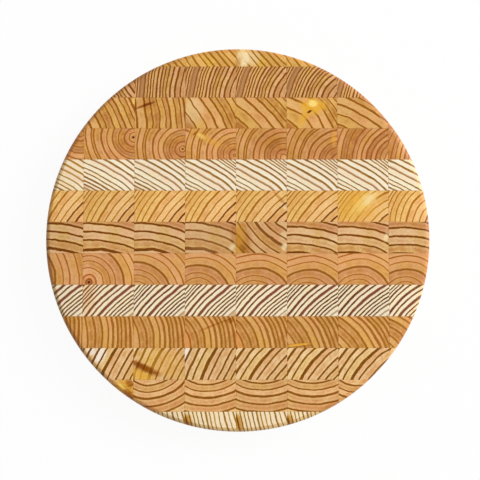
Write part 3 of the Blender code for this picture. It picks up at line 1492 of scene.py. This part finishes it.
            Patch(6, Stain.DARK, -11, -10.0, 9.5, 1.5, 6, 0.5),
            Patch(6, Stain.GOLD, -11, -9.8, 9, 0.9, 6, 0.9, 0.5, 0.6),
        ),
        deepening=0.85,
        seed=10,
    ),
    LathWood(
        name="front_lath_4",
        spring=(1, 0.74, 0.44), body=(0.72, 0.37, 0.11), summer=(0.16, 0.055, 0.002),
        rings=Rings(-30.0, (5.6, 5.6, 5.2, 4.9, 6.3, 5.3, 5.2, 4.9, 5.7, 4.5, 4.5), 1.6, 0.3),
        piths=(Pith(1, 120, -70), Pith(2, 110, -60, -1), Pith(3, 60, -30, 2), Pith(4, 92, -46, 0.5),
               Pith(5, 62, -48), Pith(6, 48, -39), Pith(7, 40, -34), Pith(8, 36, -30)),
        patches=(
            Patch(2, Stain.CREAM, -6.0, 7.0, 4.2, 6.5, -25, 1.0),
            Patch(2, Stain.CREAM, -13, 10, 3, 3.5, 0, 0.9),
            Patch(3, Stain.RESIN, 0, 0, 18, 13, 0, 0.35, 0.5),
            Patch(3, Stain.RESIN, -13.5, -9.5, 10, 4.2, -30, 0.7, 0.5),
            Patch(3, Stain.KNOT, -10.0, -3.5, 13, 2.4, -26, 1.0, 0.6, 0.5),
            Patch(3, Stain.OLIVE_SUMMER, -12.5, -2.6, 9, 1.9, -22, 0.45, 0.7, 0.5),
            Patch(3, Stain.AMBER, -15, -2.0, 6, 3.2, -20, 0.6, 0.6),
            Patch(3, Stain.BLEACHED, 3.5, -10.5, 2.2, 2.2, 0, 1.0),
            Patch(4, Stain.CREAM, -18.4, 8.5, 2.8, 7, -14, 1.0, 0.3, 0.2),
        ),
        hue_play=0.6,
        boldness=0.4,
        seed=11,
    ),
    LathWood(
        name="front_lath_5",
        spring=(0.95, 0.65, 0.32), body=(0.70, 0.35, 0.11), summer=(0.177, 0.058, 0.007),
        rings=Rings(-27.0, (6.5, 6.2, 6.3, 5.3, 5.7, 6.0, 6.0, 5.5, 5.0), 1.3, 0.45),
        piths=(Pith(2, 10, 26), Pith(3, -8, 31, -0.5), Pith(4, -3, 38), Pith(5, 0, 46, -1),
               Pith(6, 0, 47, -1), Pith(7, -4, 34, 0.8)),
        patches=(
            Patch(2, Stain.RESIN, 13, 5, 9, 8, -40, 0.75, 0.4, 0.6),
            Patch(2, Stain.BRIGHT_RESIN, 11.5, 6.5, 6, 1.2, -45, 0.7, 0.6, 0.9),
            Patch(2, Stain.KNOT, 17.5, 9.5, 3.5, 2.6, -40, 0.8, 0.6, 0.9),
            Patch(2, Stain.KNOT, 16.5, 1.5, 5, 2.0, -40, 0.85, 0.6, 0.9),
        ),
        seed=12,
    ),
    LathWood(
        name="front_lath_6",
        spring=(1, 0.83, 0.58), body=(1.00, 0.88, 0.66), summer=(0.20, 0.07, 0.006),
        rings=Rings(
            -25.0,
            (4.6, 3.7, 3.9, 4.0, 3.9, 3.3, 3.0, 3.2, 3.4, 3.2, 3.2, 3.4, 3.5),
            1.05,
        ),
        piths=(Pith(3, 90, 28), Pith(4, 90, 28), Pith(5, 80, 26), Pith(6, 60, 24)),
        patches=(*soaked_end(4, -17), *soaked_end(5, -18), *soaked_end(6, -18)),
        hue_play=0.3,
        halo=0.35,
        wash=0.15,
        seed=13,
        roughness=0.5,
    ),
)


# The board


@dataclass(frozen=True)
class TurnedBlank:
    """The disc that the blocks are cut from, rounded over along both edges."""

    diameter: float = 0.300
    thickness: float = 0.025
    top_rounding: float = 0.004
    underside_rounding: float = 0.003
    rim_facets: int = 360
    rounding_facets: int = 9

    def outline(self) -> list[tuple[float, float]]:
        """Follow the turned side from the underside up.

        Returns:
            The radius and height of each of its edges.
        """
        radius, steps = self.diameter / 2, self.rounding_facets
        low, high = self.underside_rounding, self.top_rounding
        quarter = [math.pi / 2 * step / steps for step in range(steps + 1)]
        lower = [
            (radius - low + low * math.sin(angle), low - low * math.cos(angle))
            for angle in quarter
        ]
        upper = [
            (radius - high + high * math.cos(angle), self.thickness - high + high * math.sin(angle))
            for angle in quarter
        ]
        return lower + upper

    def mesh(self) -> bmesh.types.BMesh:
        """Turn the outline round.

        Returns:
            The closed disc.
        """
        shape = bmesh.new()
        turns = [2 * math.pi * facet / self.rim_facets for facet in range(self.rim_facets)]
        loops = [
            [shape.verts.new((radius * math.cos(turn), radius * math.sin(turn), height))
             for turn in turns]
            for radius, height in self.outline()
        ]
        for lower, upper in zip(loops, loops[1:]):
            for here in range(len(turns)):
                there = (here + 1) % len(turns)
                shape.faces.new((lower[here], lower[there], upper[there], upper[here]))
        shape.faces.new(reversed(loops[0]))
        shape.faces.new(loops[-1])
        return shape


@dataclass(frozen=True)
class Grid:
    """The seams between laths and between slices."""

    lath_width: float = 0.0245
    slice_width: float = 0.0397
    middle_lath_y: float = 0.0005
    middle_seam_x: float = -0.0015
    slices: int = 8
    kerf: float = 0.003

    def middle(self, row: int, block: int) -> Vector:
        """Find a block's cell.

        Args:
            row: The lath's row, counted from the middle towards the back.
            block: The block's number, from the left.

        Returns:
            The middle of the cell, on the face that the board rests on.
        """
        x = self.middle_seam_x + (block - (self.slices + 1) / 2) * self.slice_width
        return Vector((x, self.middle_lath_y + row * self.lath_width, 0.0))

    def half_block(self) -> tuple[float, float]:
        """Half a block's width and depth, in mm."""
        return self.slice_width / 2 / MM, self.lath_width / 2 / MM

    def blocks(self, row: int, radius: float, smallest: float) -> list[int]:
        """Find the blocks of a row that the disc holds.

        Args:
            row: The lath's row, counted from the middle towards the back.
            radius: The disc's radius.
            smallest: A block narrower than this is left out.

        Returns:
            Block numbers from the left.
        """
        y = abs(self.middle(row, 1).y)
        nearest = max(0.0, y - self.lath_width / 2)
        reach = math.sqrt(radius ** 2 - nearest ** 2)
        return [
            block for block in range(1, self.slices + 1)
            if abs(self.middle(row, block).x) - self.slice_width / 2 < reach - smallest
        ]


@dataclass
class Lath:
    """A row of blocks cut from one stick of wood."""

    row: int
    wood: LathWood
    blank: TurnedBlank
    grid: Grid
    seam_gap: float = 0.00002
    arris: float = 0.00004
    smallest: float = 0.0015
    cut_tolerance: float = 1e-7
    joined_corners: float = 1e-6
    sharp_from: float = math.radians(35)
    first_seed: int = 100
    tones: tuple[float, float] = (0.96, 1.04)
    contrasts: tuple[float, float] = (0.88, 1.0)
    piece: bpy.types.Object | None = None

    def node_of(self, block: int) -> str:
        """Name the CAD piece that holds a block, counted from the left."""
        return f"{self.wood.name}_{PAIRS_FROM_THE_LEFT[(block - 1) // 2]}"

    def plane_cut(self, shape: bmesh.types.BMesh, point: Vector, outward: Vector) -> None:
        """Cut a convex shape by a plane and close it.

        Args:
            shape: What is cut.
            point: A point of the plane.
            outward: The side that falls away.
        """
        cut = bmesh.ops.bisect_plane(
            shape, geom=[*shape.verts, *shape.edges, *shape.faces], dist=self.cut_tolerance,
            plane_co=point, plane_no=outward, clear_outer=True,
        )
        edges = [one for one in cut["geom_cut"] if isinstance(one, bmesh.types.BMEdge)]
        if edges:
            bmesh.ops.contextual_create(shape, geom=edges)

    def strip(self) -> bmesh.types.BMesh:
        """Cut the lath from the blank.

        Returns:
            The part of the blank that lies in this lath.
        """
        shape = self.blank.mesh()
        y = self.grid.middle(self.row, 1).y
        for side in (-1, 1):
            edge = y + side * (self.grid.lath_width - self.seam_gap) / 2
            self.plane_cut(shape, Vector((0, edge, 0)), Vector((0, side, 0)))
        return shape

    def block_shape(self, strip: bmesh.types.BMesh, block: int) -> bmesh.types.BMesh:
        """Cut one block from the lath's strip and ease its seam edges.

        Args:
            strip: The lath's strip, left as it is.
            block: The block's number, from the left.

        Returns:
            The block, in the board's place.
        """
        shape = strip.copy()
        middle = self.grid.middle(self.row, block)
        half = Vector((self.grid.slice_width - self.seam_gap,
                       self.grid.lath_width - self.seam_gap, 0)) / 2
        for side in (-1, 1):
            self.plane_cut(shape, Vector((middle.x + side * half.x, 0, 0)), Vector((side, 0, 0)))
        for height, upward in ((0.0, -1), (self.blank.thickness, 1)):
            for along in (Vector((1, 0, 0)), Vector((0, 1, 0))):
                for side in (-1, 1):
                    edge = middle + along * side * half.dot(along)
                    edge.z = height
                    outward = along * side + Vector((0, 0, upward))
                    self.plane_cut(shape, edge - along * side * self.arris, outward)
        bmesh.ops.remove_doubles(shape, verts=shape.verts, dist=self.joined_corners)
        bmesh.ops.recalc_face_normals(shape, faces=shape.faces)
        return shape

    def block_values(self) -> dict[int, dict[str, tuple[float, ...]]]:
        """Draw what sets each block apart from its neighbours.

        Returns:
            For each block its pith, number, place along the stick, tone and contrast.
        """
        draw = random.Random(self.first_seed + self.wood.seed)
        step = (self.blank.thickness + self.grid.kerf) / MM
        return {
            block: {
                "pith": self.wood.pith_at(block),
                "block": (float(block),),
                "stick_place": (block * step,),
                "tone": (draw.uniform(*self.tones),),
                "contrast": (draw.uniform(*self.contrasts),),
            }
            for block in self.grid.blocks(self.row, self.blank.diameter / 2, self.smallest)
        }

    def build(self, collection: bpy.types.Collection) -> bpy.types.Object:
        """Cut the lath's blocks and gather them in one piece.

        Args:
            collection: Where the piece is linked.

        Returns:
            The lath, whose corners carry what its wood reads.
        """
        strip = self.strip()
        corners, faces = [], []
        carried = {name: [] for name in CORNER_VALUES}
        for block, values in self.block_values().items():
            shape = self.block_shape(strip, block)
            middle = self.grid.middle(self.row, block)
            first = len(corners)
            shape.verts.index_update()
            for corner in shape.verts:
                corners.append(corner.co.copy())
                carried["place"].extend((corner.co - middle) / MM)
                for name, value in values.items():
                    carried[name].extend(value)
            faces.extend([first + corner.index for corner in face.verts] for face in shape.faces)
            shape.free()
        strip.free()
        mesh = bpy.data.meshes.new(self.wood.name)
        mesh.from_pydata(corners, [], faces)
        for name, kind in CORNER_VALUES.items():
            layer = mesh.attributes.new(name, kind, "POINT")
            layer.data.foreach_set("vector" if kind == "FLOAT_VECTOR" else "value", carried[name])
        mesh.materials.append(self.wood.material(self.grid.half_block()))
        mesh.shade_smooth()
        mesh.set_sharp_from_angle(angle=self.sharp_from)
        self.piece = bpy.data.objects.new(self.wood.name, mesh)
        collection.objects.link(self.piece)
        return self.piece

    def attach(self) -> None:
        """Tie the lath to the board's body, and hide the CAD pieces that it stands for."""
        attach(self.piece, "root")
        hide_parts(*sorted({self.node_of(block) for block in self.block_values()}))


@dataclass
class CheeseBoard:
    """The whole board: thirteen laths in one turned disc."""

    blank: TurnedBlank = field(default_factory=TurnedBlank)
    grid: Grid = field(default_factory=Grid)
    laths: list[Lath] = field(default_factory=list)

    def build(self, collection: bpy.types.Collection) -> None:
        """Build, dress and attach every lath, from the back to the front.

        Args:
            collection: Where the pieces are linked.
        """
        woods = WOODS_FROM_THE_BACK
        for place, wood in enumerate(woods):
            lath = Lath(len(woods) // 2 - place, wood, self.blank, self.grid)
            lath.build(collection)
            lath.attach()
            self.laths.append(lath)
            LOG.info("%s: %d blocks", wood.name, len(lath.block_values()))


# The studio


@dataclass(frozen=True)
class Softbox:
    """A large soft lamp aimed at the board."""

    name: str
    place: Triple
    size: float
    power: float

    def build(self, collection: bpy.types.Collection) -> None:
        """Hang the lamp.

        Args:
            collection: Where it is linked.
        """
        light = bpy.data.lights.new(self.name, "AREA")
        light.shape = "SQUARE"
        light.size = self.size
        light.energy = self.power
        lamp = bpy.data.objects.new(self.name, light)
        lamp.location = self.place
        lamp.rotation_euler = (-Vector(self.place)).to_track_quat("-Z", "Y").to_euler()
        collection.objects.link(lamp)


@dataclass
class Studio:
    """A white sweep, soft light and the photograph's camera."""

    camera_distance: float = 0.9
    camera_tilt: float = math.radians(3.7)
    board_top: float = TurnedBlank.thickness
    aim: Triple = (0.0017, -0.0014, TurnedBlank.thickness)
    lens: float = 86.6
    sensor_width: float = 36.0
    nearest_seen: float = 0.01
    farthest_seen: float = 50.0
    floor_size: float = 6.0
    floor_colour: Triple = (0.92, 0.92, 0.92)
    floor_roughness: float = 0.9
    sky: float = 0.45
    sky_slope: float = 0.95
    shadow_share: float = 0.06
    lamps: tuple[Softbox, ...] = (
        Softbox("key_from_the_right", (3.14, 1.46, 2.0), 3.0, 172.0),
        Softbox("fill_from_the_back", (-0.4, 1.0, 1.2), 0.9, 2.1),
    )

    @staticmethod
    def white_rays(sheet: Sheet) -> Socket:
        """Pick the rays that see the backdrop itself rather than its light.

        Args:
            sheet: The tree of the world or the floor.

        Returns:
            1 for these rays, else 0.
        """
        path = sheet.node("LightPath")
        seen = sheet.math("MAXIMUM", path.outputs["Is Camera Ray"], path.outputs["Is Glossy Ray"])
        return sheet.math("MAXIMUM", seen, path.outputs["Is Transmission Ray"])

    def world(self) -> None:
        """Light the board softly all round, more from the right, from a sky seen as white."""
        world = bpy.data.worlds.new("studio")
        world.use_nodes = True
        sheet = Sheet(world.node_tree)
        background = world.node_tree.nodes["Background"]
        sheet.feed(background.inputs["Color"], (1.0, 1.0, 1.0, 1.0))
        sideways = sheet.split(sheet.node("TexCoord").outputs["Generated"])[0]
        soft = sheet.math("MULTIPLY_ADD", sideways, self.sky * self.sky_slope, self.sky)
        seen = self.white_rays(sheet)
        strength = sheet.math("MULTIPLY_ADD", sheet.math("SUBTRACT", 1.0, soft), seen, soft)
        sheet.feed(background.inputs["Strength"], strength)
        bpy.context.scene.world = world

    def white_floor(self) -> bpy.types.Material:
        """Mix paint that takes a shadow with a white glow that hides most of it.

        Returns:
            The floor's material.
        """
        made = bpy.data.materials.new("white_floor")
        made.use_nodes = True
        sheet, nodes = Sheet(made.node_tree), made.node_tree.nodes
        paint = nodes["Principled BSDF"]
        sheet.feed(paint.inputs["Base Color"], (*self.floor_colour, 1.0))
        sheet.feed(paint.inputs["Roughness"], self.floor_roughness)
        sheet.feed(paint.inputs["Specular IOR Level"], 0.0)
        glow = sheet.node("Emission")
        sheet.feed(glow.inputs["Strength"], 1.0)
        mix = sheet.node("MixShader")
        share = sheet.math("MULTIPLY", self.white_rays(sheet), 1.0 - self.shadow_share)
        for socket, value in zip(mix.inputs, (share, paint.outputs[0], glow.outputs[0])):
            sheet.feed(socket, value)
        sheet.feed(nodes["Material Output"].inputs["Surface"], mix.outputs[0])
        return made

    def floor(self, collection: bpy.types.Collection) -> None:
        """Lay a plain white floor that keeps a faint shadow.

        Args:
            collection: Where it is linked.
        """
        half = self.floor_size / 2
        mesh = bpy.data.meshes.new("floor")
        corners = [(-half, -half, 0), (half, -half, 0), (half, half, 0), (-half, half, 0)]
        mesh.from_pydata(corners, [], [(0, 1, 2, 3)])
        mesh.materials.append(self.white_floor())
        floor = bpy.data.objects.new("floor", mesh)
        collection.objects.link(floor)

    def camera(self, collection: bpy.types.Collection) -> None:
        """Hang the photograph's camera almost straight above the board.

        Args:
            collection: Where it is linked.
        """
        data = bpy.data.cameras.new("camera")
        data.lens = self.lens
        data.sensor_width = self.sensor_width
        data.clip_start, data.clip_end = self.nearest_seen, self.farthest_seen
        camera = bpy.data.objects.new("camera", data)
        tilt, away = self.camera_tilt, self.camera_distance
        top = Vector((0.0, 0.0, self.board_top))
        camera.location = top + away * Vector((0.0, -math.sin(tilt), math.cos(tilt)))
        back = (camera.location - Vector(self.aim)).normalized()
        right = Vector((0.0, 1.0, 0.0)).cross(back).normalized()
        axes = Matrix((right, back.cross(right), back)).transposed()
        camera.rotation_euler = axes.to_euler()
        collection.objects.link(camera)
        bpy.context.scene.camera = camera

    def build(self, collection: bpy.types.Collection) -> None:
        """Set the whole studio up.

        Args:
            collection: Where its pieces are linked.
        """
        self.camera(collection)
        self.world()
        self.floor(collection)
        for lamp in self.lamps:
            lamp.build(collection)
        bpy.context.scene.view_settings.view_transform = "Standard"


def main() -> None:
    """Build the board and its studio."""
    logging.basicConfig(level=logging.INFO, format="%(message)s")
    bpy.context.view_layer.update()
    collection = bpy.context.scene.collection
    studio = Studio()
    studio.build(collection)
    board = CheeseBoard()
    board.build(collection)


if __name__ == "__main__":
    main()
